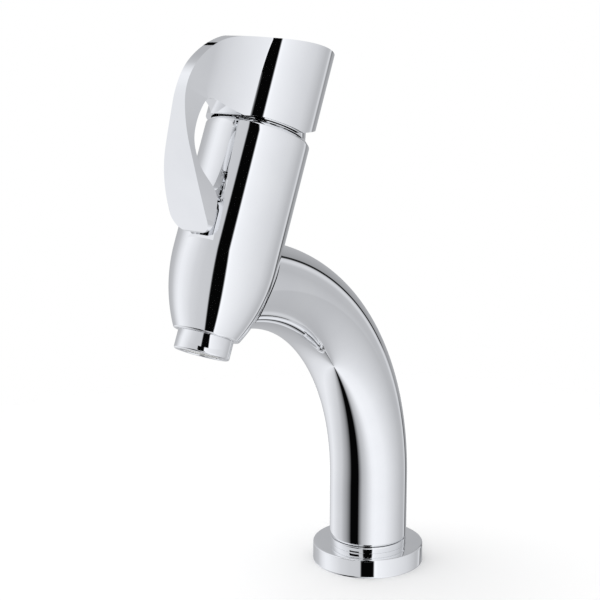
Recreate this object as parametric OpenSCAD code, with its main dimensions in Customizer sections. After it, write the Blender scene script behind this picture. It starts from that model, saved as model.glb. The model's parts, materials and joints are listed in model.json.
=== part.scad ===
// Single-lever kitchen faucet with a curved swivelling column and a slanted head.
// The origin is the middle of the flange's underside, +Z is up and the outlet points to -Y.
// The head is drawn upright about its own axis, then tilted into place by in_head().

/* [Base] */
// Diameter of the round flange
flange_d = 58; // [54:1:66]
// Height of the flange
flange_h = 10; // [9:0.5:14]
// Rounding of the flange's top edge
flange_round = 1; // [0.4:0.1:2]
// Thickness of the flange's top plate
flange_plate = 3; // [2:0.5:4]
// Height of the collar ring under the column
collar_h = 3.2; // [2:0.1:5]
// Thickness of the rubber gasket under the post
gasket_t = 1.2; // [0.8:0.1:2]
// Radius of the bore through the post
post_bore_r = 10; // [9.7:0.1:10.4]
// Height of the post above the deck
post_h = 45; // [42:1:52]
// Distance of each stud socket from the middle
stud_pitch_r = 13.7; // [13.2:0.1:14]
// Radius of the stud sockets (tapping size of M6)
stud_r = 2.5; // [2.1:0.1:2.6]
// Depth of the stud sockets
stud_depth = 11; // [8:0.5:12]

/* [Column] */
// Outside diameter of the column
column_d = 40.5; // [38:0.5:46]
// Wall of the column
column_wall = 3; // [2:0.1:3.2]
// Height above the deck at which the column starts to bend
bend_z = 46; // [46:1:80]
// Radius of the bend, at the column's middle line
bend_r = 121; // [115:1:140]
// Rounding of the column's foot
foot_round = 1.5; // [0.5:0.1:2]
// Half of the column's swivel travel in degrees
swivel_half = 60; // [30:1:65]
// Height of the stop screw above the deck
stop_z = 31; // [30:0.5:33]
// Radius of the stop screw
stop_screw_r = 2.4; // [2:0.1:2.6]

/* [Water tubes] */
// Outside radius of each supply tube
tube_r = 4; // [3:0.1:4.2]
// Wall of each supply tube
tube_wall = 1; // [0.6:0.1:1.2]
// Distance of each tube from the plane of symmetry
tube_x = 4.9; // [4.6:0.1:5]
// Radius of the hose sockets in the tail block (tapping size of M8 x 1)
hose_socket_r = 3.5; // [3:0.1:3.6]

/* [Head] */
// Backward lean of the head from the vertical
head_tilt = 24; // [20:1:28]
// Distance of the outlet's middle in front of the column's axis
outlet_reach = 135; // [128:1:150]
// Height of the outlet's middle above the deck, on an unbent base height
outlet_z = 139.3; // [136:0.1:150]
// Diameter of the head's straight part
head_d = 47.6; // [46.6:0.1:54]
// Diameter of the head at its lower end
head_end_d = 29.6; // [28:0.1:34]
// Distance from the outlet at which the head's taper starts
taper_s = 44.5; // [40:0.5:60]
// Distance from the outlet to the head's upper edge
head_top_s = 103.4; // [102:0.1:108]
// Size of the chamfer round the head's upper edge
head_chamfer = 2.1; // [1:0.1:2.5]

/* [Aerator] */
// Diameter of the aerator's ring
aerator_d = 25.1; // [24.4:0.1:27]
// Height of the aerator's ring below the head
aerator_h = 8.8; // [7:0.1:11]
// Width across flats of one honeycomb cell
cell_w = 2.5; // [2:0.1:3]
// Wall between two honeycomb cells
cell_wall = 0.6; // [0.4:0.1:0.9]

/* [Cartridge] */
// Diameter of the cartridge
cartridge_d = 34.8; // [34:0.1:35.2]
// Distance of the lever's pivot above the cartridge chamber's floor
pivot_up = 33; // [32:0.5:34]
// Lift of the lever from closed to full flow in degrees
lever_lift = 20; // [12:1:20]
// Radius of the pivot pin
pivot_r = 1.5; // [1.2:0.1:1.8]
// Width of the square stem
stem_w = 8; // [7:0.1:8.2]

/* [Lever] */
// Diameter of the lever's cap
cap_d = 49.2; // [48.8:0.1:56]
// Wall of the cap
cap_wall = 2.4; // [1.8:0.1:2.5]
// Half width of the narrow ridge at the front of the cap
ridge_half = 2.67; // [2:0.05:4]
// Angle from straight ahead at which each flank leaves the round cap
flank_start = 27; // [20:1:34]
// Angle that each flank turns through on its way to the ridge
flank_turn = 39; // [34:1:44]
// Half width of the grip at its widest
grip_half = 10.1; // [8:0.1:13]
// Slope of the rim's relief at the back of the cap
rim_slope = 22; // [21:1:26]

/* [Fits] */
// Clearance of a turning or threaded fit, on the radius
fit_gap = 0.08; // [0.05:0.01:0.1]
// Clearance between fixed pieces, on the radius
seat_gap = 0.15; // [0.1:0.01:0.2]
// Open gap between moving pieces that don't touch
free_gap = 0.4; // [0.3:0.05:0.6]
// Open seam between the column and the head
seam = 0.3; // [0.2:0.05:0.5]

/* [Hidden] */
$fn = 96;
eps = 0.01;

// Base, from the deck upwards
flange_r = flange_d / 2;
column_r = column_d / 2;
column_bore_r = column_r - column_wall;
flange_wall = 3;
foot_plate_r = flange_r - flange_wall - seat_gap;
sleeve_r = column_bore_r - 0.3;
sleeve_top_z = flange_h + collar_h - 0.2;
column_z = flange_h + collar_h + 0.1;
neck_r = sleeve_r - 2.75;
ring_depth = 1;
ring_h = 6;
ring_low_z = column_z + 4;
ring_top_z = post_h - 1 - ring_h;
stop_groove_r = post_bore_r + 1.4;
stop_tip_r = stop_groove_r + free_gap;
stop_half = swivel_half + asin((stop_screw_r + free_gap) / stop_tip_r) + 0.5;
tail_r = post_bore_r - free_gap;
tail_z = 0.8;
tail_h = 13;
hose_socket_h = 7;

// Bend: the sweep is counted from the foot, 0 is straight up and 90 is level
spigot_start = 75;
spigot_end = 82;
tube_end = 81;
column_end = 88;
socket_start = 74;

// Head, counted from the outlet along the head's axis
head_r = head_d / 2;
head_end_r = head_end_d / 2;
taper_len = taper_s - aerator_h;
taper_angle = 2 * atan((head_r - head_end_r) / taper_len);
taper_r = taper_len / sin(taper_angle);
chamfer_s = head_top_s - head_chamfer;

// Aerator
aerator_r = aerator_d / 2;
aerator_thread_r = aerator_r - 0.65;
aerator_thread_h = 4.7;
aerator_bore_r = aerator_r - 2.15;
aerator_lip_h = 1.6;
aerator_lip_r = aerator_bore_r - 0.8;
aerator_insert_h = 7.4;
screen_t = 0.6;
washer_t = 1.4;
washer_s = aerator_h + aerator_thread_h;
mix_s = washer_s + washer_t;
mix_r = 9.5;
mix_h = 5.1;

// Cartridge, from the floor of its chamber upwards
cartridge_r = cartridge_d / 2;
chamber_r = cartridge_r + 0.3;
nut_thread_r = chamber_r + 1.3;
floor_s = head_top_s - 33.4;
seal_t = 1.4;
seal_squeeze = 0.5;
base_s = floor_s + seal_squeeze;
disc_s = floor_s + 6;
fixed_disc_h = 3.5;
disc_film = 0.05;
moving_disc_h = 4;
fixed_top_s = disc_s + fixed_disc_h;
slide_s = fixed_top_s + disc_film;
carrier_s = slide_s + moving_disc_h;
carrier_h = 7;
housing_wall = 1.8;
housing_inner_r = cartridge_r - housing_wall;
housing_top_s = floor_s + 27.5;
roof_t = 3;
guide_s = housing_top_s - roof_t;
guide_flange_t = 2.7;
housing_neck_r = 13.6;
guide_bore_r = 11.6;
guide_r = guide_bore_r - fit_gap;
housing_neck_s = housing_top_s + 12;
guide_top_s = housing_neck_s - 0.5;
pivot_s = floor_s + pivot_up;
ball_s = carrier_s + 6.5;
ball_r = 3.8;
ball_socket_r = ball_r + 0.3;
arm = pivot_s - ball_s;
arm_r = 3;
disc_travel = arm * lever_lift * PI / 180;
disc_back = disc_travel / 2;
moving_disc_r = 12.6;
carrier_r = 10.8;
peg_r = 1.4;
peg_h = 1.5;
inlet_x = 4.6;
inlet_f = 5.2;
outlet_f = -6.3;
port_r = 2.7;
outlet_x = 11.8;
outlet_r = 2.5;
cross_s = floor_s - 10;
seal_r = port_r + 1.4;
nut_top_s = head_top_s - 0.2;
sleeve_s = head_top_s;
sleeve_h = 4.8;
sleeve_base_r = head_r - 2.4;
sleeve_lip_r = sleeve_base_r - 0.8;
stem_top_s = pivot_s + 28;
stem_square_s = pivot_s - 6;
slot_half = stem_w / 2 + free_gap;
slot_back = slot_half + (guide_top_s - pivot_s + 1) * tan(lever_lift);
slot_front = arm_r / cos(lever_lift) + arm * tan(lever_lift);

// Lever, as distances forward of the head's axis and along it
cap_r = cap_d / 2;
cavity_r = cap_r - cap_wall;
rim_s = head_top_s + 0.8;
cap_back_s = rim_s + 41.9;
roof_thickness = 3.5;
boss_r = 8;
boss_s = pivot_s + 13;
set_screw_s = pivot_s + 21;
set_screw_r = 2.4;
plug_r = 2.85;
plug_h = 3.5;
grip_bottom_s = rim_s - 56;

chrome = [0.82, 0.83, 0.85];
brass = [0.78, 0.62, 0.32];
copper = [0.75, 0.45, 0.3];
rubber = [0.12, 0.12, 0.13];
plastic = [0.9, 0.9, 0.88];
ceramic = [0.93, 0.92, 0.9];
steel = [0.6, 0.61, 0.63];

// Points along a chain of lines and tangent arcs. Each step is [radius, turn in degrees],
// or [0, length] for a straight line. A positive turn is to the left.
arc_steps = 14;
function step_end(p, h, step) =
    step[0] == 0
        ? p + step[1] * [cos(h), sin(h)]
        : let (side = sign(step[1]) * step[0])
          p + side * [sin(h + step[1]) - sin(h), cos(h) - cos(h + step[1])];
function step_points(p, h, step) =
    step[0] == 0
        ? [step_end(p, h, step)]
        : [for (i = [1:arc_steps]) step_end(p, h, [step[0], step[1] * i / arc_steps])];
function chain(p, h, steps, i = 0) =
    i == len(steps)
        ? []
        : concat(
            step_points(p, h, steps[i]),
            chain(
                step_end(p, h, steps[i]),
                h + (steps[i][0] == 0 ? 0 : steps[i][1]),
                steps,
                i + 1));

// Places a head piece, drawn upright about its own axis
module in_head() {
    translate([0, -outlet_reach, outlet_z])
        rotate([-head_tilt, 0, 0])
            children();
}

// A ring or disc about the local axis
module ring(outer, inner, low, high) {
    translate([0, 0, low])
        difference() {
            cylinder(r = outer, h = high - low);
            translate([0, 0, -eps])
                cylinder(r = inner, h = high - low + 2 * eps);
        }
}

module rod(r, low, high) {
    translate([0, 0, low])
        cylinder(r = r, h = high - low);
}

// A rod that lies along the forward direction of the head, from f0 to f1
module forward_rod(r, f0, f1, s) {
    translate([0, -f0, s])
        rotate([90, 0, 0])
            cylinder(r = r, h = f1 - f0);
}

// A rod that lies across the head, from x0 to x1
module cross_rod(r, x0, x1, s) {
    translate([x0, 0, s])
        rotate([0, 90, 0])
            cylinder(r = r, h = x1 - x0);
}

// Extrudes an outline given as (forward, along the axis) across the width
module across(width) {
    rotate([90, 0, -90])
        linear_extrude(height = width, center = true)
            children();
}

// Sweeps its children, drawn about the origin, along the column's bend between two sweeps
module along_bend(x, from, to) {
    translate([x, -bend_r, bend_z])
        rotate([0, 90, 0])
            rotate([0, 0, 90 + from])
                rotate_extrude(angle = to - from)
                    translate([bend_r, 0])
                        children();
}

module bend_bar(r, x, from, to) {
    along_bend(x, from, to)
        circle(r = r);
}

module bend_tube(outer, inner, x, from, to) {
    along_bend(x, from, to)
        difference() {
            circle(r = outer);
            circle(r = inner);
        }
}

// Base

module base_flange() {
    color(chrome)
        difference() {
            rotate_extrude()
                difference() {
                    union() {
                        square([flange_r, flange_h - flange_round]);
                        square([flange_r - flange_round, flange_h]);
                        translate([flange_r - flange_round, flange_h - flange_round])
                            circle(r = flange_round);
                    }
                    translate([-flange_r, -flange_h])
                        square([flange_r, 3 * flange_h]);
                }
            rod(flange_r - flange_wall, -eps, flange_h - flange_plate);
            rod(sleeve_r + seat_gap, 0, flange_h + eps);
        }
}

module deck_gasket() {
    color(rubber)
        difference() {
            ring(foot_plate_r, post_bore_r + 0.2, 0, gasket_t);
            stud_sockets(stud_r);
        }
}

module stud_sockets(r) {
    for (side = [-1, 1])
        translate([0, side * stud_pitch_r, -eps])
            cylinder(r = r, h = gasket_t + stud_depth);
}

module base_post() {
    color(brass)
        difference() {
            union() {
                rod(foot_plate_r, gasket_t, flange_h - flange_plate);
                rod(sleeve_r, gasket_t, sleeve_top_z);
                rod(neck_r, gasket_t, post_h);
            }
            rod(post_bore_r, 0, post_h + 1);
            stud_sockets(stud_r);
            for (z = [ring_low_z, ring_top_z])
                ring(column_r, neck_r - ring_depth, z - seat_gap, z + ring_h + seat_gap);
            stop_groove();
        }
}

// Groove that the stop screw runs in, open over the swivel travel at the back
module stop_groove() {
    half_h = stop_screw_r + free_gap;
    rotate([0, 0, 90 - stop_half])
        rotate_extrude(angle = 2 * stop_half)
            translate([stop_groove_r, stop_z - half_h])
                square([column_r - stop_groove_r, 2 * half_h]);
}

module swivel_collar() {
    color(chrome)
        ring(column_r, sleeve_r + seat_gap, flange_h, flange_h + collar_h);
}

module slide_ring(z) {
    color(plastic)
        ring(column_bore_r - fit_gap, neck_r - ring_depth + seat_gap / 2, z, z + ring_h);
}

// Column

module column() {
    color(chrome)
        difference() {
            union() {
                rotate_extrude()
                    difference() {
                        translate([column_bore_r, column_z])
                            square([column_wall, bend_z - column_z]);
                        translate([column_r - foot_round, column_z])
                            difference() {
                                translate([0, -1])
                                    square([foot_round + 1, foot_round + 1]);
                                translate([0, foot_round])
                                    circle(r = foot_round);
                            }
                    }
                bend_tube(column_r, column_bore_r, 0, 0, column_end);
            }
            in_head()
                head_outline(seam);
            stop_screw_rod(stop_screw_r + fit_gap, stop_tip_r - 2, column_r + 1);
        }
}

module stop_screw_rod(r, y0, y1) {
    translate([0, y1, stop_z])
        rotate([90, 0, 0])
            cylinder(r = r, h = y1 - y0);
}

module stop_screw() {
    socket_depth = 3;
    color(steel)
        difference() {
            stop_screw_rod(stop_screw_r, stop_tip_r, column_r - 0.6);
            translate([0, column_r, stop_z])
                rotate([90, 0, 0])
                    cylinder(r = stop_screw_r * 0.58, h = socket_depth, $fn = 6);
        }
}

module supply_tube(x) {
    color(copper)
        union() {
            translate([x, 0, 0])
                ring(tube_r, tube_r - tube_wall, tail_z + hose_socket_h, bend_z);
            bend_tube(tube_r, tube_r - tube_wall, x, 0, tube_end);
        }
}

module tail_block() {
    color(brass)
        difference() {
            rod(tail_r, tail_z, tail_z + tail_h);
            for (side = [-1, 1])
                translate([side * tube_x, 0, 0]) {
                    rod(hose_socket_r, 0, tail_z + hose_socket_h + eps);
                    rod(tube_r + seat_gap / 3, tail_z + hose_socket_h, tail_z + tail_h + 1);
                }
        }
}

// Head

// Outside of the head as a turned shape, grown by g all round
module head_outline(g = 0) {
    low = aerator_h - g;
    rotate_extrude()
        union() {
            intersection() {
                translate([head_r - taper_r, taper_s])
                    circle(r = taper_r + g, $fn = 360);
                translate([0, low])
                    square([head_r + g + 1, taper_s - low]);
            }
            polygon([
                [0, taper_s],
                [head_r + g, taper_s],
                [head_r + g, chamfer_s],
                [head_r - head_chamfer + g, head_top_s + g],
                [0, head_top_s + g]]);
        }
}

module head_body() {
    color(chrome)
        difference() {
            union() {
                in_head()
                    head_outline();
                bend_bar(column_bore_r - seat_gap, 0, spigot_start, spigot_end);
            }
            in_head() {
                rod(aerator_thread_r + fit_gap, aerator_h - 1, mix_s);
                rod(mix_r, mix_s - eps, mix_s + mix_h);
                rod(chamber_r, floor_s, head_top_s + 1);
                rod(nut_thread_r, housing_top_s - 1.5, head_top_s + 1);
                waterways();
            }
            for (side = [-1, 1]) {
                bend_bar(tube_r + seat_gap, side * tube_x, socket_start, tube_end);
                inlet_passage(side);
            }
        }
}

// Straight drilling that carries on from the end of a supply tube to the front inlet drilling
module inlet_passage(side) {
    reach = 25.5;
    translate([side * tube_x, -bend_r + bend_r * cos(tube_end), bend_z + bend_r * sin(tube_end)])
        rotate([tube_end, 0, 0])
            translate([0, 0, -eps])
                cylinder(r = tube_r - tube_wall, h = reach);
}

module waterways() {
    inlet_low_s = floor_s - 42;
    for (side = [-1, 1])
        translate([side * inlet_x, -inlet_f, 0])
            rod(port_r, inlet_low_s, floor_s + eps);
    low_s = mix_s + mix_h / 2;
    translate([0, -outlet_f, 0]) {
        rod(port_r, cross_s - outlet_r, floor_s + eps);
        cross_rod(outlet_r, 0, outlet_x, cross_s);
        translate([outlet_x, 0, 0])
            rod(outlet_r, low_s, cross_s);
        cross_rod(outlet_r, mix_r / 2, outlet_x, low_s);
    }
}

// Aerator

module aerator_housing() {
    rounding = 1;
    color(chrome)
        in_head()
            difference() {
                union() {
                    rotate_extrude()
                        union() {
                            translate([0, rounding])
                                square([aerator_r, aerator_h - rounding]);
                            square([aerator_r - rounding, aerator_h]);
                            translate([aerator_r - rounding, rounding])
                                intersection() {
                                    circle(r = rounding);
                                    translate([0, -rounding])
                                        square(rounding);
                                }
                        }
                    rod(aerator_thread_r, aerator_h - eps, washer_s);
                }
                rod(aerator_lip_r, -1, washer_s + 1);
                rod(aerator_bore_r, aerator_lip_h, washer_s + 1);
            }
}

// Centres of a hexagonal grid, in rings about the middle
function hex_grid(rings, pitch) = [
    for (i = [-rings:rings])
        for (j = [-rings:rings])
            if (abs(i + j) <= rings)
                [pitch * (i + j / 2), pitch * j * sqrt(3) / 2]];

module aerator_insert() {
    color(plastic)
        in_head()
            difference() {
                rod(aerator_bore_r - seat_gap, aerator_lip_h, aerator_lip_h + aerator_insert_h);
                for (c = hex_grid(2, cell_w + cell_wall))
                    translate([c[0], c[1], aerator_lip_h - 1])
                        rotate([0, 0, 30])
                            cylinder(r = cell_w / sqrt(3), h = aerator_insert_h + 2, $fn = 6);
            }
}

module aerator_screen() {
    hole_r = 0.7;
    low = aerator_lip_h + aerator_insert_h;
    color(steel)
        in_head()
            difference() {
                rod(aerator_bore_r - seat_gap, low, low + screen_t);
                for (c = hex_grid(3, cell_w))
                    translate([c[0], c[1], low - 1])
                        cylinder(r = hole_r, h = screen_t + 2, $fn = 16);
            }
}

module aerator_washer() {
    color(rubber)
        in_head()
            ring(aerator_thread_r - 0.1, aerator_bore_r - 1.2, washer_s, mix_s);
}

// Cartridge

// Repeats its children at the two inlets and the outlet
module at_ports() {
    for (side = [-1, 1])
        translate([side * inlet_x, -inlet_f, 0])
            children();
    translate([0, -outlet_f, 0])
        children();
}

module port_seals() {
    color(rubber)
        in_head()
            at_ports()
                ring(seal_r, port_r + 0.3, floor_s, floor_s + seal_t);
}

module cartridge_base() {
    color(plastic)
        in_head()
            difference() {
                rod(cartridge_r, base_s, disc_s);
                at_ports() {
                    rod(seal_r + seat_gap, base_s - 1, floor_s + seal_t);
                    rod(port_r, base_s, disc_s + 1);
                }
            }
}

module fixed_disc() {
    color(ceramic)
        in_head()
            difference() {
                rod(housing_inner_r - seat_gap, disc_s, fixed_top_s);
                at_ports()
                    rod(port_r, disc_s - 1, fixed_top_s + 1);
            }
}

// Its pocket joins the outlet to one or both inlets once the lever is lifted
module moving_disc() {
    pocket_r = 3.7;
    pocket_len = 6.2;
    pocket_h = 2;
    color(ceramic)
        in_head()
            difference() {
                translate([0, disc_back, 0])
                    rod(moving_disc_r, slide_s, carrier_s);
                translate([0, 0, slide_s - 1])
                    linear_extrude(height = pocket_h + 1)
                        union() {
                            circle(r = pocket_r);
                            translate([-pocket_r, 0])
                                square([2 * pocket_r, pocket_len]);
                            translate([0, pocket_len])
                                circle(r = pocket_r);
                        }
                drive_pegs(peg_r + seat_gap);
            }
}

// Two pegs of the carrier that turn and push the moving disc
module drive_pegs(r) {
    peg_x = 7.5;
    for (side = [-1, 1])
        translate([side * peg_x, disc_back, 0])
            rod(r, carrier_s - peg_h, carrier_s + 1);
}

module disc_carrier() {
    socket_floor_s = carrier_s + 1.8;
    color(plastic)
        in_head()
            difference() {
                union() {
                    translate([0, disc_back, 0])
                        rod(carrier_r, carrier_s, carrier_s + carrier_h);
                    drive_pegs(peg_r);
                }
                rod(ball_socket_r, socket_floor_s, carrier_s + carrier_h + 1);
            }
}

module cartridge_housing() {
    color(plastic)
        in_head()
            difference() {
                union() {
                    rod(cartridge_r, disc_s, housing_top_s);
                    rod(housing_neck_r, disc_s, housing_neck_s);
                }
                rod(housing_inner_r, disc_s - 1, guide_s);
                rod(guide_bore_r, disc_s, housing_neck_s + 1);
            }
}

module clamping_nut() {
    slot_w = 4;
    slot_depth = 2;
    color(brass)
        in_head()
            difference() {
                ring(nut_thread_r - fit_gap, housing_neck_r + free_gap, housing_top_s, nut_top_s);
                for (turn = [0, 90])
                    rotate([0, 0, turn])
                        translate([0, 0, nut_top_s])
                            cube([3 * nut_thread_r, slot_w, 2 * slot_depth], center = true);
            }
}

module trim_sleeve() {
    inner_r = housing_neck_r + free_gap;
    top_s = sleeve_s + sleeve_h;
    rounding = 0.6;
    color(chrome)
        in_head()
            rotate_extrude()
                polygon([
                    [inner_r, sleeve_s],
                    [sleeve_base_r, sleeve_s],
                    [sleeve_lip_r, top_s - rounding],
                    [sleeve_lip_r - rounding, top_s],
                    [inner_r, top_s]]);
}

module stem_guide() {
    flange_clear = 0.3;
    color(plastic)
        in_head()
            difference() {
                union() {
                    rod(housing_inner_r - free_gap, guide_s - guide_flange_t - flange_clear, guide_s - flange_clear);
                    rod(guide_r, guide_s - guide_flange_t, guide_top_s);
                }
                translate([-slot_half, -slot_front - free_gap, guide_s - 2 * guide_flange_t])
                    cube([2 * slot_half, slot_front + slot_back + free_gap, guide_top_s - guide_s + 4 * guide_flange_t]);
                pivot_rod(pivot_r + seat_gap / 3, guide_r + 1);
            }
}

module pivot_rod(r, half_len) {
    translate([-half_len, 0, pivot_s])
        rotate([0, 90, 0])
            cylinder(r = r, h = 2 * half_len);
}

module pivot_pin() {
    color(steel)
        in_head()
            pivot_rod(pivot_r, guide_r - 0.7);
}

// Lever

module stem() {
    color(brass)
        in_head()
            difference() {
                union() {
                    translate([-stem_w / 2, -stem_w / 2, stem_square_s])
                        cube([stem_w, stem_w, stem_top_s - stem_square_s]);
                    rod(arm_r, ball_s, stem_square_s + eps);
                    translate([0, 0, ball_s])
                        sphere(r = ball_r);
                }
                pivot_rod(pivot_r + fit_gap, stem_w);
            }
}

// Upper edge of the side view, from the back of the cap over the nose and down the grip
function lever_top() =
    let (start = [-cap_r - 1.4, cap_back_s])
    concat(
        [start],
        chain(start, 1.3, [[149.5, -22.1], [45.4, -38.6], [26.6, -45.5], [96.3, -30.5]]));

// Lower edge of the side view, from the rim over the arch of the finger gap to the grip's tip
function lever_under() =
    let (start = [24, rim_s - 1.4])
    concat(
        [start],
        chain(start, 8, [[0, 13.3], [6.2, -73.4], [40.1, -20.3], [16.7, -67.3], [0, 7], [9.1, 57.1], [0, 12.2]]));

function flip(points) = [for (i = [len(points) - 1:-1:0]) points[i]];

module lever_side() {
    back_f = -cap_r - 1.4;
    polygon(concat(
        lever_top(),
        flip(lever_under()),
        [[20, rim_s], [0, rim_s], [back_f, rim_s - back_f * tan(rim_slope)]]));
}

// One flank of the cap, as distances across and forward: it leaves the round cap at a crease
// and sweeps in to the narrow ridge, which it meets running straight ahead
function flank_outline() =
    let (
        crease = cap_r * [sin(flank_start), cos(flank_start)],
        sweep_r = (crease[0] - ridge_half) / (1 - cos(flank_turn)))
    concat(
        [crease],
        chain(crease, 90 + flank_turn, [[sweep_r, -flank_turn], [0, cap_r]]));

// The cap and its nose seen along the head's axis
module lever_plan() {
    flank = flank_outline();
    circle(r = cap_r, $fn = 144);
    polygon(concat(
        [[0, 0]],
        [for (p = flank) [p[0], -p[1]]],
        flip([for (p = flank) [-p[0], -p[1]]])));
}

// Half of the grip seen from the front: a leaf that widens downwards to a blunt round tip
function grip_half_outline() =
    let (
        start = [0, grip_bottom_s],
        blunt_r = (grip_half - 5 * (1 - sin(20))) / sin(20))
    concat(
        [start],
        chain(start, 0, [[blunt_r, 20], [5, 70], [95, 15.5], [110, -15.5], [0, 20]]));

module lever_front() {
    points = grip_half_outline();
    polygon(concat(points, flip([for (p = points) [-p[0], p[1]]])));
}

module lever() {
    plan_low_s = rim_s - 18;
    tall = 70;
    color(chrome)
        in_head()
            difference() {
                intersection() {
                    across(3 * cap_r)
                        lever_side();
                    union() {
                        translate([0, 0, plan_low_s])
                            linear_extrude(height = tall)
                                lever_plan();
                        translate([0, -cap_r, 0])
                            rotate([90, 0, 0])
                                linear_extrude(height = 2 * cap_r)
                                    lever_front();
                    }
                }
                difference() {
                    intersection() {
                        rod(cavity_r, rim_s - 10, rim_s + 50);
                        translate([0, 0, -roof_thickness])
                            across(3 * cap_r)
                                polygon(concat(lever_top(), [[cap_r + 40, 0], [-cap_r - 1.4, 0]]));
                    }
                    stem_boss();
                }
                translate([-stem_w / 2 - seat_gap, -stem_w / 2 - seat_gap, boss_s - 1])
                    cube([stem_w + 2 * seat_gap, stem_w + 2 * seat_gap, stem_top_s - boss_s + 1 + free_gap]);
                forward_rod(set_screw_r + fit_gap, -boss_lug_f, 0, set_screw_s);
                forward_rod(plug_r + seat_gap / 3, -cap_r - 1, -cavity_r + 1, set_screw_s);
            }
}

// Boss under the cap's roof that takes the stem, with a lug for the set screw
boss_lug_f = 12;
module stem_boss() {
    rod(boss_r, boss_s, rim_s + 50);
    translate([-boss_r / 2 - 1, 0, boss_s])
        cube([boss_r + 2, boss_lug_f, rim_s + 50 - boss_s]);
}

module set_screw() {
    tip_f = -stem_w / 2 - 0.05;
    length = 6;
    color(steel)
        in_head()
            difference() {
                forward_rod(set_screw_r, tip_f - length, tip_f, set_screw_s);
                translate([0, -tip_f + length + eps, set_screw_s])
                    rotate([90, 0, 0])
                        cylinder(r = set_screw_r * 0.58, h = length / 2, $fn = 6);
            }
}

module index_plug() {
    color(plastic)
        in_head()
            forward_rod(plug_r, -cap_r + 0.05, -cap_r + plug_h, set_screw_s);
}

base_flange();
deck_gasket();
base_post();
swivel_collar();
slide_ring(ring_low_z);  // lower_slide_ring
slide_ring(ring_top_z);  // upper_slide_ring
column();
stop_screw();
supply_tube(-tube_x);  // hot_tube
supply_tube(tube_x);  // cold_tube
tail_block();
head_body();
aerator_housing();
aerator_insert();
aerator_screen();
aerator_washer();
port_seals();
cartridge_base();
fixed_disc();
cartridge_housing();
clamping_nut();
trim_sleeve();
stem_guide();
pivot_pin();
moving_disc();
disc_carrier();
stem();
lever();
set_screw();
index_plug();
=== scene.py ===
import json
import math

import bmesh
import bpy
import numpy as np
from mathutils import Matrix, Vector


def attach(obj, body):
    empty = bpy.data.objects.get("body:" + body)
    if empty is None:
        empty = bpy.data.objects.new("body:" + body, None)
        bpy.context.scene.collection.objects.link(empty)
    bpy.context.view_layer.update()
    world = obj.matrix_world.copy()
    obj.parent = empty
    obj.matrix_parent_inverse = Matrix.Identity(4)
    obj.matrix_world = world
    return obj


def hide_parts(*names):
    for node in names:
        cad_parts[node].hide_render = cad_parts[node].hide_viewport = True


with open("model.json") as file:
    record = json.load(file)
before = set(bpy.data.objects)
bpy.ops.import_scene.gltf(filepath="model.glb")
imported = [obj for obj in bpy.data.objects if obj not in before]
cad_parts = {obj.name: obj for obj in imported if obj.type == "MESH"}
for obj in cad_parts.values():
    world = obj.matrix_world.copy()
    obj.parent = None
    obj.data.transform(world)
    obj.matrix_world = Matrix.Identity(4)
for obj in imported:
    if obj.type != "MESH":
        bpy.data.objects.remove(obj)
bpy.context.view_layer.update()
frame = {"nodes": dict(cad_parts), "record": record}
scene = bpy.context.scene

# Sizes shared with the CAD source, in millimetres and degrees
FLANGE_R, FLANGE_H = 29.0, 10.0
COLLAR_H = 3.2
COLUMN_R, COLUMN_BORE = 20.25, 17.25
COLUMN_Z = 13.3
FOOT_ROUND = 1.5
BEND_Z, BEND_R = 46.0, 121.0
TILT = math.radians(24)
REACH, OUTLET_Z = 135.0, 139.3
HEAD_R, HEAD_END_R = 23.8, 14.8
TAPER_S, HEAD_TOP, CHAMFER = 44.5, 103.4, 2.1
AERATOR_R, AERATOR_H = 12.55, 8.8
CAP_R = 24.6
RIDGE_HALF = 2.67
RIM_S = HEAD_TOP + 0.8
SEAM = 0.3

taper_len = TAPER_S - AERATOR_H
taper_turn = 2 * math.atan((HEAD_R - HEAD_END_R) / taper_len)
TAPER_R = taper_len / math.sin(taper_turn)


def to_world(p):
    """Points about the upright head, as x, forward and along, to the row frame."""
    p = np.asarray(p, float)
    x, f, s = p[..., 0], p[..., 1], p[..., 2]
    y = -REACH - f * math.cos(TILT) + s * math.sin(TILT)
    z = OUTLET_Z + f * math.sin(TILT) + s * math.cos(TILT)
    return np.stack([x, y, z], -1)


def link(obj):
    scene.collection.objects.link(obj)
    return obj


def outward(mesh):
    """Turns a closed mesh's faces outwards."""
    bm = bmesh.new()
    bm.from_mesh(mesh)
    bmesh.ops.recalc_face_normals(bm, faces=bm.faces)
    bm.to_mesh(mesh)
    bm.free()
    mesh.update()


def mesh_object(name, points, faces, material, sharp=30):
    mesh = bpy.data.meshes.new(name)
    mesh.from_pydata([tuple(p) for p in np.asarray(points) / 1000], [], faces)
    mesh.validate()
    outward(mesh)
    mesh.shade_smooth()
    if sharp:
        mesh.set_sharp_from_angle(angle=math.radians(sharp))
    mesh.materials.append(material)
    return link(bpy.data.objects.new(name, mesh))


def arc(cx, cy, r, a0, a1, n):
    return [
        (cx + r * math.cos(math.radians(a)), cy + r * math.sin(math.radians(a)))
        for a in np.linspace(a0, a1, n + 1)
    ]


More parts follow.
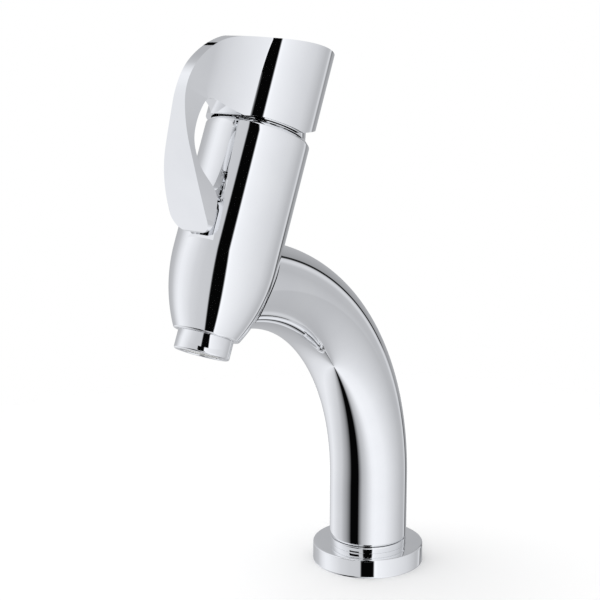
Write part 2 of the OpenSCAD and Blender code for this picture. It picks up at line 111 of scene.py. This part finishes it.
def rounded(corners):
    """A closed outline from (x, y, radius) corners, each rounded by its radius."""
    out = []
    n = len(corners)
    for i, (x, y, r) in enumerate(corners):
        p = np.array([x, y])
        if not r:
            out.append((x, y))
            continue
        a = np.array(corners[i - 1][:2]) - p
        b = np.array(corners[(i + 1) % n][:2]) - p
        a, b = a / np.linalg.norm(a), b / np.linalg.norm(b)
        half = math.acos(np.clip(a @ b, -1, 1)) / 2
        d = r / math.tan(half)
        mid = (a + b) / np.linalg.norm(a + b)
        c = p + mid * (r / math.sin(half))
        u0, u1 = p + a * d - c, p + b * d - c
        sweep = math.pi - 2 * half
        steps = max(3, int(math.degrees(sweep) / 15))
        w = (u1 - u0 * math.cos(sweep)) / math.sin(sweep)
        for k in range(steps + 1):
            t = sweep * k / steps
            out.append(tuple(c + u0 * math.cos(t) + w * math.sin(t)))
    return out


def lathe(name, outline, material, place=None, steps=192, sharp=30):
    """Turns a closed outline of (radius, height) about the axis."""
    n = len(outline)
    angles = np.linspace(0, 2 * math.pi, steps, endpoint=False)
    rz = np.array(outline)
    pts = np.stack(
        [
            np.outer(np.cos(angles), rz[:, 0]),
            np.outer(np.sin(angles), rz[:, 0]),
            np.tile(rz[:, 1], (steps, 1)),
        ],
        -1,
    ).reshape(-1, 3)
    if place is not None:
        pts = place(pts)
    faces = []
    for i in range(steps):
        j = (i + 1) % steps
        for k in range(n):
            m = (k + 1) % n
            if rz[k, 0] < 1e-6 and rz[m, 0] < 1e-6:
                continue
            faces.append((i * n + k, j * n + k, j * n + m, i * n + m))
    obj = mesh_object(name, pts, faces, material, sharp)
    return obj


# Materials


def node_material(name):
    m = bpy.data.materials.new(name)
    m.use_nodes = True
    tree = m.node_tree
    return m, tree, tree.nodes["Principled BSDF"]


def add_noise(tree, scale, detail=3.0, rough=0.55, stretch=None):
    coords = tree.nodes.new("ShaderNodeTexCoord")
    mapping = tree.nodes.new("ShaderNodeMapping")
    noise = tree.nodes.new("ShaderNodeTexNoise")
    noise.inputs["Scale"].default_value = scale
    noise.inputs["Detail"].default_value = detail
    noise.inputs["Roughness"].default_value = rough
    if stretch:
        mapping.inputs["Scale"].default_value = stretch
    tree.links.new(coords.outputs["Object"], mapping.inputs["Vector"])
    tree.links.new(mapping.outputs["Vector"], noise.inputs["Vector"])
    return noise


def ramp(tree, source, stops):
    node = tree.nodes.new("ShaderNodeValToRGB")
    el = node.color_ramp.elements
    while len(el) > 1:
        el.remove(el[-1])
    el[0].position, el[0].color = stops[0][0], (*stops[0][1], 1)
    for pos, col in stops[1:]:
        e = el.new(pos)
        e.color = (*col, 1)
    tree.links.new(source, node.inputs["Fac"])
    return node


def map_range(tree, source, low, high):
    node = tree.nodes.new("ShaderNodeMapRange")
    node.inputs["To Min"].default_value = low
    node.inputs["To Max"].default_value = high
    tree.links.new(source, node.inputs["Value"])
    return node


def bump(tree, source, bsdf, strength, distance):
    node = tree.nodes.new("ShaderNodeBump")
    node.inputs["Strength"].default_value = strength
    node.inputs["Distance"].default_value = distance
    tree.links.new(source, node.inputs["Height"])
    tree.links.new(node.outputs["Normal"], bsdf.inputs["Normal"])


def metal(name, dark, light, rough_low, rough_high, scale, bump_mm=0.0, stretch=None):
    m, tree, bsdf = node_material(name)
    noise = add_noise(tree, scale, 4, 0.6, stretch)
    colour = ramp(tree, noise.outputs["Fac"], [(0.35, dark), (0.65, light)])
    rough = map_range(tree, noise.outputs["Fac"], rough_low, rough_high)
    tree.links.new(colour.outputs["Color"], bsdf.inputs["Base Color"])
    tree.links.new(rough.outputs["Result"], bsdf.inputs["Roughness"])
    bsdf.inputs["Metallic"].default_value = 1.0
    if bump_mm:
        fine = add_noise(tree, scale * 3, 3, 0.5, stretch)
        bump(tree, fine.outputs["Fac"], bsdf, 0.4, bump_mm / 1000)
    return m


def plastic(name, dark, light, rough, scale, bump_mm=0.02, coat=0.0):
    m, tree, bsdf = node_material(name)
    noise = add_noise(tree, scale, 3, 0.5)
    colour = ramp(tree, noise.outputs["Fac"], [(0.3, dark), (0.7, light)])
    tree.links.new(colour.outputs["Color"], bsdf.inputs["Base Color"])
    r = map_range(tree, noise.outputs["Fac"], rough * 0.85, rough * 1.15)
    tree.links.new(r.outputs["Result"], bsdf.inputs["Roughness"])
    bsdf.inputs["Coat Weight"].default_value = coat
    fine = add_noise(tree, scale * 12, 2, 0.5)
    bump(tree, fine.outputs["Fac"], bsdf, 0.3, bump_mm / 1000)
    return m


chrome = metal("chrome_polished", (0.90, 0.905, 0.915), (0.93, 0.935, 0.94), 0.012, 0.03, 35)
brass = metal("brass_turned", (0.62, 0.45, 0.2), (0.74, 0.57, 0.3), 0.22, 0.36, 120, 0.02, (1, 1, 12))
copper = metal("copper_drawn", (0.62, 0.32, 0.2), (0.75, 0.42, 0.28), 0.2, 0.38, 150, 0.01)
steel = metal("steel_machined", (0.5, 0.5, 0.51), (0.66, 0.66, 0.67), 0.22, 0.38, 300, 0.01)
rubber = plastic("rubber_black", (0.018, 0.018, 0.02), (0.035, 0.035, 0.037), 0.62, 160, 0.03)
white_plastic = plastic("acetal_white", (0.7, 0.7, 0.68), (0.79, 0.79, 0.77), 0.42, 130)
grey_plastic = plastic("plug_grey", (0.2, 0.205, 0.21), (0.26, 0.265, 0.27), 0.35, 130)
ceramic = plastic("ceramic_lapped", (0.78, 0.77, 0.74), (0.84, 0.83, 0.8), 0.12, 90, 0.004, 0.4)

SLOTS = {
    "chrome": chrome,
    "brass": brass,
    "copper": copper,
    "rubber": rubber,
    "white_plastic": white_plastic,
    "ceramic": ceramic,
    "steel": steel,
    "grey_plastic": grey_plastic,
}
for part in frame["record"]["subparts"]:
    node = frame["nodes"][part["node"]]
    node.data.materials.clear()
    node.data.materials.append(SLOTS[part["material_slot"]])


def replace(obj, body, node):
    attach(obj, body)
    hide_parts(node)


# Base

flange = lathe(
    "flange_turned",
    rounded([
        (17.1, FLANGE_H, 0),
        (17.1, FLANGE_H - 3, 0),
        (FLANGE_R - 3, FLANGE_H - 3, 0),
        (FLANGE_R - 3, 0, 0),
        (FLANGE_R, 0, 0.3),
        (FLANGE_R, FLANGE_H, 0.9),
    ]),
    chrome,
    steps=256,
)
replace(flange, "base", "base_flange")

collar = lathe(
    "collar_turned",
    rounded([
        (17.1, FLANGE_H, 0),
        (COLUMN_R, FLANGE_H, 0.15),
        (COLUMN_R, FLANGE_H + COLLAR_H, 0.25),
        (17.1, FLANGE_H + COLLAR_H, 0),
    ]),
    chrome,
    steps=256,
)
replace(collar, "base", "swivel_collar")


# Column


def head_radius(s):
    """Radius of the head's outside at a distance s from the outlet."""
    s = np.asarray(s, float)
    drop = TAPER_R - np.sqrt(np.maximum(TAPER_R**2 - np.minimum(s - TAPER_S, 0) ** 2, 0))
    return HEAD_R - drop


def bend_point(r, phi, theta):
    out = -BEND_R + (BEND_R + r * np.cos(phi)) * np.cos(theta)
    up = BEND_Z + (BEND_R + r * np.cos(phi)) * np.sin(theta)
    return np.stack([r * np.sin(phi) * np.ones_like(theta), out, up], -1)


def sweep_to_head(r, phi, gap):
    """Sweep at which the tube's line at phi first comes within gap of the head."""
    grid = np.linspace(math.radians(55), math.radians(92), 3000)
    p = bend_point(r, phi, grid)
    dy, dz = p[:, 1] + REACH, p[:, 2] - OUTLET_Z
    s = dy * math.sin(TILT) + dz * math.cos(TILT)
    f = -dy * math.cos(TILT) + dz * math.sin(TILT)
    inside = np.hypot(p[:, 0], f) - (head_radius(s) + gap) < 0
    return grid[np.argmax(inside)] if inside.any() else grid[-1]


def column_mesh():
    around, along = 256, 140
    phis = np.linspace(0, 2 * math.pi, around, endpoint=False)
    foot = [(COLUMN_R - FOOT_ROUND + FOOT_ROUND * math.cos(a), COLUMN_Z + FOOT_ROUND + FOOT_ROUND * math.sin(a))
            for a in np.linspace(-math.pi / 2, 0, 9)]
    rise = [(COLUMN_R, z) for z in np.linspace(COLUMN_Z + FOOT_ROUND, BEND_Z, 14)[1:-1]]
    columns = []
    for phi in phis:
        line = [(r * math.sin(phi), r * math.cos(phi), z) for r, z in foot + rise]
        end = sweep_to_head(COLUMN_R, phi, SEAM)
        line += [tuple(p) for p in bend_point(COLUMN_R, phi, np.linspace(0, end, along))]
        end = sweep_to_head(COLUMN_BORE, phi, SEAM)
        line += [tuple(p) for p in bend_point(COLUMN_BORE, phi, np.linspace(end, 0, 40))]
        line += [(COLUMN_BORE * math.sin(phi), COLUMN_BORE * math.cos(phi), COLUMN_Z)]
        columns.append(line)
    n = len(columns[0])
    pts = np.array(columns).reshape(-1, 3)
    faces = []
    for i in range(around):
        j = (i + 1) % around
        for k in range(n):
            m = (k + 1) % n
            faces.append((i * n + k, i * n + m, j * n + m, j * n + k))
    return pts, faces


pts, faces = column_mesh()
column = mesh_object("column_swept", pts, faces, chrome)
replace(column, "column", "column")


# Head

taper = [
    (HEAD_R - TAPER_R + TAPER_R * math.cos(a), TAPER_S + TAPER_R * math.sin(a))
    for a in np.linspace(-taper_turn, 0, 90)
]
head_outline = (
    [(1e-7, 20.0), (9.5, 20.0), (9.5, 14.9), (11.98, 14.9), (11.98, AERATOR_H), (HEAD_END_R - 0.3, AERATOR_H), (HEAD_END_R - 0.08, AERATOR_H + 0.1)]
    + [p for p in taper if p[1] > AERATOR_H + 0.3]
    + [(HEAD_R, s) for s in np.linspace(TAPER_S, HEAD_TOP - CHAMFER - 0.4, 24)[1:]]
    + [(HEAD_R - 0.05, HEAD_TOP - CHAMFER - 0.08), (HEAD_R - 0.2, HEAD_TOP - CHAMFER + 0.17)]
    + [(HEAD_R - CHAMFER + 0.2, HEAD_TOP - 0.2), (HEAD_R - CHAMFER - 0.1, HEAD_TOP)]
    + [(19.0, HEAD_TOP), (19.0, 96.0), (17.7, 96.0), (17.7, 70.0), (1e-7, 70.0)]
)
head = lathe("head_turned", head_outline, chrome, lambda p: to_world(np.stack([p[:, 0], p[:, 1], p[:, 2]], -1)), 256)
replace(head, "column", "head_body")

# Spigot that the column's end slips over, seen only through the open seam
phis = np.linspace(0, 2 * math.pi, 96, endpoint=False)
rows = [bend_point(17.1, phis, np.full_like(phis, a)) for a in np.radians(np.linspace(75, 82, 8))]
rows = [np.tile(rows[0].mean(0), (96, 1))] + rows
spigot_faces = []
for k in range(len(rows) - 1):
    for i in range(96):
        j = (i + 1) % 96
        spigot_faces.append((k * 96 + i, k * 96 + j, (k + 1) * 96 + j, (k + 1) * 96 + i))
spigot = mesh_object("head_spigot", np.concatenate(rows), spigot_faces, chrome)
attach(spigot, "column")

sleeve = lathe(
    "sleeve_turned",
    rounded([
        (14.0, HEAD_TOP, 0),
        (21.4, HEAD_TOP, 0.1),
        (20.6, HEAD_TOP + 4.8, 0.7),
        (14.0, HEAD_TOP + 4.8, 0),
    ]),
    chrome,
    to_world,
    256,
)
replace(sleeve, "column", "trim_sleeve")

aerator = lathe(
    "aerator_turned",
    rounded([
        (9.6, 0, 0.35),
        (AERATOR_R, 0, 1.0),
        (AERATOR_R, AERATOR_H, 0.3),
        (11.9, AERATOR_H, 0),
        (11.9, AERATOR_H + 4.7, 0.3),
        (10.4, AERATOR_H + 4.7, 0.2),
        (10.4, 1.6, 0),
        (9.6, 1.6, 0.2),
    ]),
    chrome,
    to_world,
    192,
)
replace(aerator, "column", "aerator_housing")


# Lever

def step_points(p, h, r, turn):
    """Points after p along one straight line (radius 0) or tangent arc, and the new heading."""
    if r == 0:
        n = max(1, int(turn / 1.5))
        d = np.array([math.cos(h), math.sin(h)])
        return [p + d * turn * (k + 1) / n for k in range(n)], h
    side = math.copysign(r, turn)
    turn = math.radians(turn)
    n = max(2, int(abs(turn) * r / 0.7))
    n = min(n, int(abs(math.degrees(turn)) / 0.8) + 1)
    pts = []
    for k in range(1, n + 1):
        a = h + turn * k / n
        pts.append(p + side * np.array([math.sin(a) - math.sin(h), math.cos(h) - math.cos(a)]))
    return pts, h + turn


def chain(start, heading, steps):
    p, h = np.array(start, float), math.radians(heading)
    out = [p]
    for r, turn in steps:
        new, h = step_points(out[-1], h, r, turn)
        out += new
    return out


LEVER_TOP = chain((-CAP_R - 1.4, RIM_S + 41.9), 1.3, [(149.5, -22.1), (45.4, -38.6), (26.6, -45.5), (96.3, -30.5)])
LEVER_UNDER = chain((24, RIM_S - 1.4), 8, [(0, 13.3), (6.2, -73.4), (40.1, -20.3), (16.7, -67.3), (0, 7), (9.1, 57.1), (0, 12.2)])


def prism(name, loop, low, high, order):
    """Extrudes a closed outline. order names where its two axes and the depth go."""
    n = len(loop)
    pts = np.zeros((2 * n, 3))
    for half, depth in enumerate((low, high)):
        block = pts[half * n:(half + 1) * n]
        block[:, order[0]] = [p[0] for p in loop]
        block[:, order[1]] = [p[1] for p in loop]
        block[:, order[2]] = depth
    faces = [(k, (k + 1) % n, n + (k + 1) % n, n + k) for k in range(n)]
    faces += [tuple(range(n))[::-1], tuple(range(n, 2 * n))]
    mesh = bpy.data.meshes.new(name)
    mesh.from_pydata([tuple(p) for p in pts], [], faces)
    outward(mesh)
    return link(bpy.data.objects.new(name, mesh))


def combine(a, b, operation):
    """Boolean of two scratch objects into the first, in place."""
    mod = a.modifiers.new("cut", "BOOLEAN")
    mod.operation, mod.solver, mod.object = operation, "EXACT", b
    dg = bpy.context.evaluated_depsgraph_get()
    mesh = bpy.data.meshes.new_from_object(a.evaluated_get(dg))
    a.modifiers.clear()
    a.data = mesh
    bpy.data.objects.remove(b)
    return a


FLANK_TURN = 39


def cap_plan(s):
    """Outline of the cap at a height s along the head's axis, as x and forward."""
    crease = 26.2 + 7 * (max(s - RIM_S, 0) / 42) ** 4
    x, f = CAP_R * math.sin(math.radians(crease)), CAP_R * math.cos(math.radians(crease))
    sweep = (x - RIDGE_HALF) / (1 - math.cos(math.radians(FLANK_TURN)))
    h0 = math.radians(90 + FLANK_TURN)
    flank = []
    for h in np.linspace(h0, math.pi / 2, 41):
        flank.append((x - sweep * (math.sin(h) - math.sin(h0)), f - sweep * (math.cos(h0) - math.cos(h))))
    side = arc(0, 0, CAP_R, -90, 90 - crease, 90)[:-1] + flank + [(RIDGE_HALF, 75)]
    return side + [(-px, pf) for px, pf in side[::-1] if px > 1e-6]


def cap_loft():
    rows = [[(x, f, s) for x, f in cap_plan(s)] for s in np.linspace(RIM_S - 18, RIM_S + 48, 40)]
    n = len(rows[0])
    faces = [(k * n + i, k * n + (i + 1) % n, (k + 1) * n + (i + 1) % n, (k + 1) * n + i)
             for k in range(len(rows) - 1) for i in range(n)]
    faces += [tuple(range(n)), tuple(range((len(rows) - 1) * n, len(rows) * n))]
    mesh = bpy.data.meshes.new("plan")
    mesh.from_pydata([p for row in rows for p in row], [], faces)
    outward(mesh)
    return link(bpy.data.objects.new("plan", mesh))


def leaf():
    """Outline of the grip from the front, as x and along."""
    half = 10.1
    blunt = (half - 5 * (1 - math.sin(math.radians(20)))) / math.sin(math.radians(20))
    side = chain((0, RIM_S - 56), 0, [(blunt, 20), (5, 70), (95, 15.5), (110, -15.5), (0, 22)])
    return [tuple(p) for p in side] + [(-p[0], p[1]) for p in side[::-1][:-1]]


side_loop = LEVER_TOP + LEVER_UNDER[::-1] + [np.array(p) for p in ((20, RIM_S), (0, RIM_S), (-CAP_R - 1.4, RIM_S + (CAP_R + 1.4) * math.tan(math.radians(22))))]
lever = prism("lever_cast", side_loop, -40, 40, (1, 2, 0))
plan = cap_loft()
grip = prism("grip", leaf(), CAP_R, 3 * CAP_R, (0, 2, 1))
combine(plan, grip, "UNION")
combine(lever, plan, "INTERSECT")
cavity_top = [(f, s - 3.5) for f, s in LEVER_TOP if f < 30]
cavity_side = prism("cavity_side", cavity_top + [(30, 60), (-CAP_R - 1.4, 60)], -40, 40, (1, 2, 0))
cavity = prism("cavity", arc(0, 0, 22.2, 0, 357.5, 143), RIM_S - 10, RIM_S + 50, (0, 1, 2))
combine(cavity, cavity_side, "INTERSECT")
boss = prism("boss", arc(0, 0, 8, 0, 355, 71), 116, 160, (0, 1, 2))
combine(cavity, boss, "DIFFERENCE")
combine(lever, cavity, "DIFFERENCE")
screw_hole = prism("screw_hole", arc(0, 124, 2.9, 0, 350, 35), -30, -21, (0, 2, 1))
combine(lever, screw_hole, "DIFFERENCE")

mesh = lever.data
co = np.zeros(len(mesh.vertices) * 3)
mesh.vertices.foreach_get("co", co)
world = to_world(co.reshape(-1, 3)) / 1000
mesh.vertices.foreach_set("co", world.ravel())
# The head frame is left-handed as x, forward, along, so faces turn over
mesh.flip_normals()
mesh.update()
mesh.materials.clear()
mesh.materials.append(chrome)
mesh.shade_smooth()
mesh.set_sharp_from_angle(angle=math.radians(24))
bevel = lever.modifiers.new("edges", "BEVEL")
bevel.width, bevel.segments, bevel.limit_method, bevel.angle_limit = 0.0006, 3, "ANGLE", math.radians(30)
bevel.harden_normals = True
replace(lever, "lever", "lever")

# Camera fitted to the photograph

camera = bpy.data.objects.new("camera", bpy.data.cameras.new("camera"))
link(camera)
camera.data.sensor_width = 36
camera.data.lens = 85.95
camera.location = (0.39387, -0.60160, 0.29578)
aim = Vector((0, -0.061417, 0.151035)) - camera.location
camera.rotation_mode = "QUATERNION"
roll = Matrix.Rotation(math.radians(0.06), 4, "Z").to_quaternion()
camera.rotation_quaternion = aim.to_track_quat("-Z", "Y") @ roll
camera.data.clip_start, camera.data.clip_end = 0.01, 20
scene.camera = camera

# Floor and studio

floor_mesh = bpy.data.meshes.new("floor")
floor_mesh.from_pydata([(-1, -1, 0), (1, -1, 0), (1, 1, 0), (-1, 1, 0)], [], [(0, 1, 2, 3)])
floor = link(bpy.data.objects.new("floor", floor_mesh))
fm, ft, fb = node_material("floor_white")
fn = add_noise(ft, 3.0, 2, 0.5)
fc = ramp(ft, fn.outputs["Fac"], [(0.3, (0.93, 0.93, 0.93)), (0.7, (0.95, 0.95, 0.95))])
ft.links.new(fc.outputs["Color"], fb.inputs["Base Color"])
fb.inputs["Roughness"].default_value = 0.9
fb.inputs["Specular IOR Level"].default_value = 0.0
# The floor fades out away from the faucet, so that no horizon shows
where = ft.nodes.new("ShaderNodeTexCoord")
length = ft.nodes.new("ShaderNodeVectorMath")
length.operation = "LENGTH"
ft.links.new(where.outputs["Object"], length.inputs[0])
fade = ramp(ft, length.outputs["Value"], [(0.16, (1, 1, 1)), (0.38, (0, 0, 0))])
ft.links.new(fade.outputs["Color"], fb.inputs["Alpha"])
floor_mesh.materials.append(fm)
floor.visible_glossy = False

# Brightness of the studio, as the chrome shows it, by azimuth: 0 is the faucet's front (-Y), 90 is +X
UPPER = [
    (-180, 0.60), (-165, 0.65), (-135, 0.70), (-115, 0.70), (-95, 0.75), (-85, 0.83), (-75, 0.90),
    (-65, 0.94), (-55, 0.93), (-45, 0.90), (-35, 0.87), (-25, 0.83), (-5, 0.79), (18, 0.775),
    (20, 0.02), (46, 0.02), (48, 0.99), (55, 0.95), (65, 0.93), (85, 0.896),
    (105, 0.86), (125, 0.824), (145, 0.755), (154, 0.72), (163, 0.73), (169, 0.84), (174, 0.78), (180, 0.60)]
LOWER = [
    (-180, 0.45), (-178, 0.56), (-160, 0.66), (-135, 0.73), (-115, 0.86), (-95, 0.92), (-85, 0.89), (-75, 0.855),
    (-65, 0.82), (-55, 0.79), (-45, 0.70), (-35, 0.61), (-25, 0.42), (-20, 0.02), (3, 0.02), (8, 0.50),
    (15, 0.70), (25, 0.78), (35, 0.87), (45, 0.94), (55, 0.955), (75, 0.94), (85, 0.927),
    (105, 0.864), (125, 0.795), (145, 0.725), (155, 0.71), (163, 0.72), (169, 0.82), (174, 0.78), (176, 0.08), (180, 0.40)]
CHROME_REFLECTANCE = 0.92
COOL = (0.985, 1.0, 1.04)


def linear(v):
    """Linear light of a display value."""
    return v / 12.92 if v <= 0.04045 else ((v + 0.055) / 1.055) ** 2.4


world = bpy.data.worlds.new("studio")
world.use_nodes = True
scene.world = world
wt = world.node_tree
bg = wt.nodes["Background"]
coords = wt.nodes.new("ShaderNodeTexCoord")
axes = wt.nodes.new("ShaderNodeSeparateXYZ")
wt.links.new(coords.outputs["Generated"], axes.inputs["Vector"])


def math_node(tree, operation, a, b=None):
    node = tree.nodes.new("ShaderNodeMath")
    node.operation = operation
    for i, v in enumerate((a, b)):
        if isinstance(v, (int, float)):
            node.inputs[i].default_value = v
        elif v is not None:
            tree.links.new(v, node.inputs[i])
    return node.outputs["Value"]


def azimuth_of(tree, xyz):
    back = math_node(tree, "MULTIPLY", xyz.outputs["Y"], -1.0)
    return math_node(tree, "ARCTAN2", xyz.outputs["X"], back)


def band(tree, azimuth, table):
    """Light of the studio at an azimuth, from one of the two tables."""
    turn = math_node(tree, "DIVIDE", math_node(tree, "ADD", azimuth, math.pi), 2 * math.pi)
    stops = [((az + 180) / 360, tuple(linear(v) / CHROME_REFLECTANCE * t for t in COOL)) for az, v in table]
    return ramp(tree, turn, stops).outputs["Color"]


def world_mix(factor, a, b):
    node = wt.nodes.new("ShaderNodeMix")
    node.data_type = "RGBA"
    wt.links.new(factor, node.inputs["Factor"])
    for socket, v in ((node.inputs["A"], a), (node.inputs["B"], b)):
        if isinstance(v, tuple):
            socket.default_value = v
        else:
            wt.links.new(v, socket)
    return node.outputs["Result"]


azimuth = azimuth_of(wt, axes)
height = wt.nodes.new("ShaderNodeMapRange")
height.inputs["From Min"].default_value = -0.25
height.inputs["From Max"].default_value = -0.21
wt.links.new(axes.outputs["Z"], height.inputs["Value"])
# A dark edge of the backdrop just short of azimuth 180, faint where the cap and the head would show it
edge = ramp(wt, math_node(wt, "DIVIDE", azimuth, math.pi), [
    (0.0, (1, 1, 1)), (0.966, (1, 1, 1)), (0.975, (0.03, 0.03, 0.03)), (0.998, (0.03, 0.03, 0.03)), (1.0, (1, 1, 1))])
keep = wt.nodes.new("ShaderNodeMapRange")
keep.inputs["From Min"].default_value = -0.13
keep.inputs["From Max"].default_value = -0.10
keep.inputs["To Min"].default_value = 0.35
wt.links.new(axes.outputs["Z"], keep.inputs["Value"])
edge = world_mix(keep.outputs["Result"], (1, 1, 1, 1), edge.outputs["Color"])
upper = wt.nodes.new("ShaderNodeMix")
upper.data_type, upper.blend_type = "RGBA", "MULTIPLY"
upper.inputs["Factor"].default_value = 1.0
wt.links.new(band(wt, azimuth, UPPER), upper.inputs["A"])
wt.links.new(edge, upper.inputs["B"])
seen = world_mix(height.outputs["Result"], band(wt, azimuth, LOWER), upper.outputs["Result"])
path = wt.nodes.new("ShaderNodeLightPath")
soft = world_mix(path.outputs["Is Glossy Ray"], (0.96, 0.96, 0.96, 1), seen)
wt.links.new(world_mix(path.outputs["Is Camera Ray"], soft, (1, 1, 1, 1)), bg.inputs["Color"])
bg.inputs["Strength"].default_value = 1.0



def reflector(name, points, faces, azimuths=None, table=None):
    """A studio card that only mirror reflections see: black, or lit by a table at its points' azimuths."""
    mesh = bpy.data.meshes.new(name)
    mesh.from_pydata(points, [], faces)
    obj = link(bpy.data.objects.new(name, mesh))
    obj.visible_camera = False
    obj.visible_diffuse = False
    obj.visible_shadow = False
    obj.visible_transmission = False
    m = bpy.data.materials.new(name)
    m.use_nodes = True
    tree = m.node_tree
    tree.nodes.remove(tree.nodes["Principled BSDF"])
    glow = tree.nodes.new("ShaderNodeEmission")
    glow.inputs["Color"].default_value = (0.001, 0.001, 0.001, 1)
    tree.links.new(glow.outputs["Emission"], tree.nodes["Material Output"].inputs["Surface"])
    if table:
        layer = mesh.uv_layers.new(name="azimuth")
        for loop in mesh.loops:
            layer.data[loop.index].uv = (azimuths[loop.vertex_index] / 360, 0.5)
        place = tree.nodes.new("ShaderNodeTexCoord")
        xyz = tree.nodes.new("ShaderNodeSeparateXYZ")
        tree.links.new(place.outputs["UV"], xyz.inputs["Vector"])
        spot = math_node(tree, "MULTIPLY", xyz.outputs["X"], 2 * math.pi)
        tree.links.new(band(tree, spot, table), glow.inputs["Color"])
    mesh.materials.append(m)
    return obj


def mirror_patch(name, place, normal, distance, limits=(-180, 180), highest=-0.13):
    """A card a little way along the camera's mirrored rays from a grid of places, where they point down."""
    view = place - np.array(camera.location)
    view /= np.linalg.norm(view, axis=-1, keepdims=True)
    ray = view - 2 * (view * normal).sum(-1, keepdims=True) * normal
    points = (place + distance * ray).reshape(-1, 3)
    azimuths = np.clip(np.degrees(np.arctan2(ray[..., 0], -ray[..., 1])), *limits).ravel()
    m, n = place.shape[:2]
    low = ray[..., 2] < highest
    faces = []
    for i in range(m - 1):
        for j in range(n - 1):
            corners = [(i, j), (i + 1, j), (i + 1, j + 1), (i, j + 1)]
            ids = [a * n + b for a, b in corners]
            spread = np.ptp(azimuths[ids])
            if all(low[c] for c in corners) and spread < 90:
                faces.append(ids)
    reflector(name, [tuple(q) for q in points], faces, azimuths, UPPER)


def turned_grid(radii, heights, slopes):
    """Places and outward normals round a turned surface of the head, at angles from the front."""
    turn = np.radians(np.linspace(-62, 104, 84))[:, None]
    r, h, lean = (np.asarray(v, float)[None, :] for v in (radii, heights, slopes))
    one = np.ones_like(turn * r)
    local = np.stack([r * np.sin(turn), r * np.cos(turn), h * one], -1)
    out = np.stack([np.cos(lean) * np.sin(turn), np.cos(lean) * np.cos(turn), np.sin(lean) * one], -1)
    return to_world(local) / 1000, to_world(out) - to_world(np.zeros(3))


# Screens that carry the upper band on below the horizon for the head, the aerator's ring and the grip
s_grid = np.linspace(AERATOR_H, 100, 60)
lean = -np.arcsin(np.clip((TAPER_S - s_grid) / TAPER_R, 0, 1))
mirror_patch("head_screen", *turned_grid(head_radius(s_grid), s_grid, lean), 0.008)
mirror_patch("ring_screen", *turned_grid([AERATOR_R] * 2, [0.5, AERATOR_H - 0.2], [0, 0]), 0.004)
first = next(i for i, p in enumerate(LEVER_TOP) if p[0] > 45)
to_tip = LEVER_UNDER[-1] - LEVER_TOP[-1]
line = np.array(LEVER_TOP[first:] + [LEVER_TOP[-1] + to_tip * t for t in (0.3, 0.6, 0.9)])
tangent = np.gradient(line, axis=0)
tangent /= np.linalg.norm(tangent, axis=1, keepdims=True)
across = np.linspace(-10, 10, 5)[:, None]
one = np.ones_like(across * line[None, :, 0])
face = np.stack([across * one, line[None, :, 0] * one, line[None, :, 1] * one], -1)
out = np.stack([0 * one, -tangent[None, :, 1] * one, tangent[None, :, 0] * one], -1)
mirror_patch("grip_screen", to_world(face) / 1000, to_world(out) - to_world(np.zeros(3)), 0.002, (-45, -30))

# Screen round the flange's side, close enough that nothing else mirrors it
turn = np.radians(np.linspace(-58, 122, 91))[:, None]
rise = np.array([0.0003, FLANGE_H / 1000 - 0.0003])[None, :]
out = np.stack([np.sin(turn) + 0 * rise, -np.cos(turn) + 0 * rise, 0 * turn * rise], -1)
place = out * FLANGE_R / 1000
place[..., 2] = rise
mirror_patch("flange_screen", place, out, 0.004)


def facing_card(name, start, az, el, distance, half_w, half_h, value=None):
    """A card square to the ray that leaves start at an azimuth and elevation."""
    az, el = math.radians(az), math.radians(el)
    ray = np.array([math.cos(el) * math.sin(az), -math.cos(el) * math.cos(az), math.sin(el)])
    side = np.array([math.cos(az), math.sin(az), 0])
    up = np.cross(side, ray)
    mid = np.array(start) + distance * ray
    points = [tuple(mid + i * half_w * side + j * half_h * up) for i, j in ((-1, -1), (1, -1), (1, 1), (-1, 1))]
    return reflector(name, points, [(0, 1, 2, 3)], [value] * 4, UPPER if value is not None else None)


# Dark strip that the lever's ridge mirrors at the top
facing_card("ridge_card", (0, -0.185, 0.268), -133, 30, 0.4, 0.10, 0.017)
# Dark card that the flange's top shows by way of the column's foot
facing_card("foot_card", (0, 0, 0.012), -4.5, 22.1, 0.11, 0.0254, 0.0094)

key = bpy.data.objects.new("key_light", bpy.data.lights.new("key_light", "AREA"))
link(key)
key.data.shape, key.data.size, key.data.energy = "DISK", 1.6, 9.0
key.location = (-0.5, -0.7, 1.8)
key.rotation_mode = "QUATERNION"
key.rotation_quaternion = (-Vector(key.location)).to_track_quat("-Z", "Y")
key.visible_glossy = False

scene.view_settings.view_transform = "Standard"
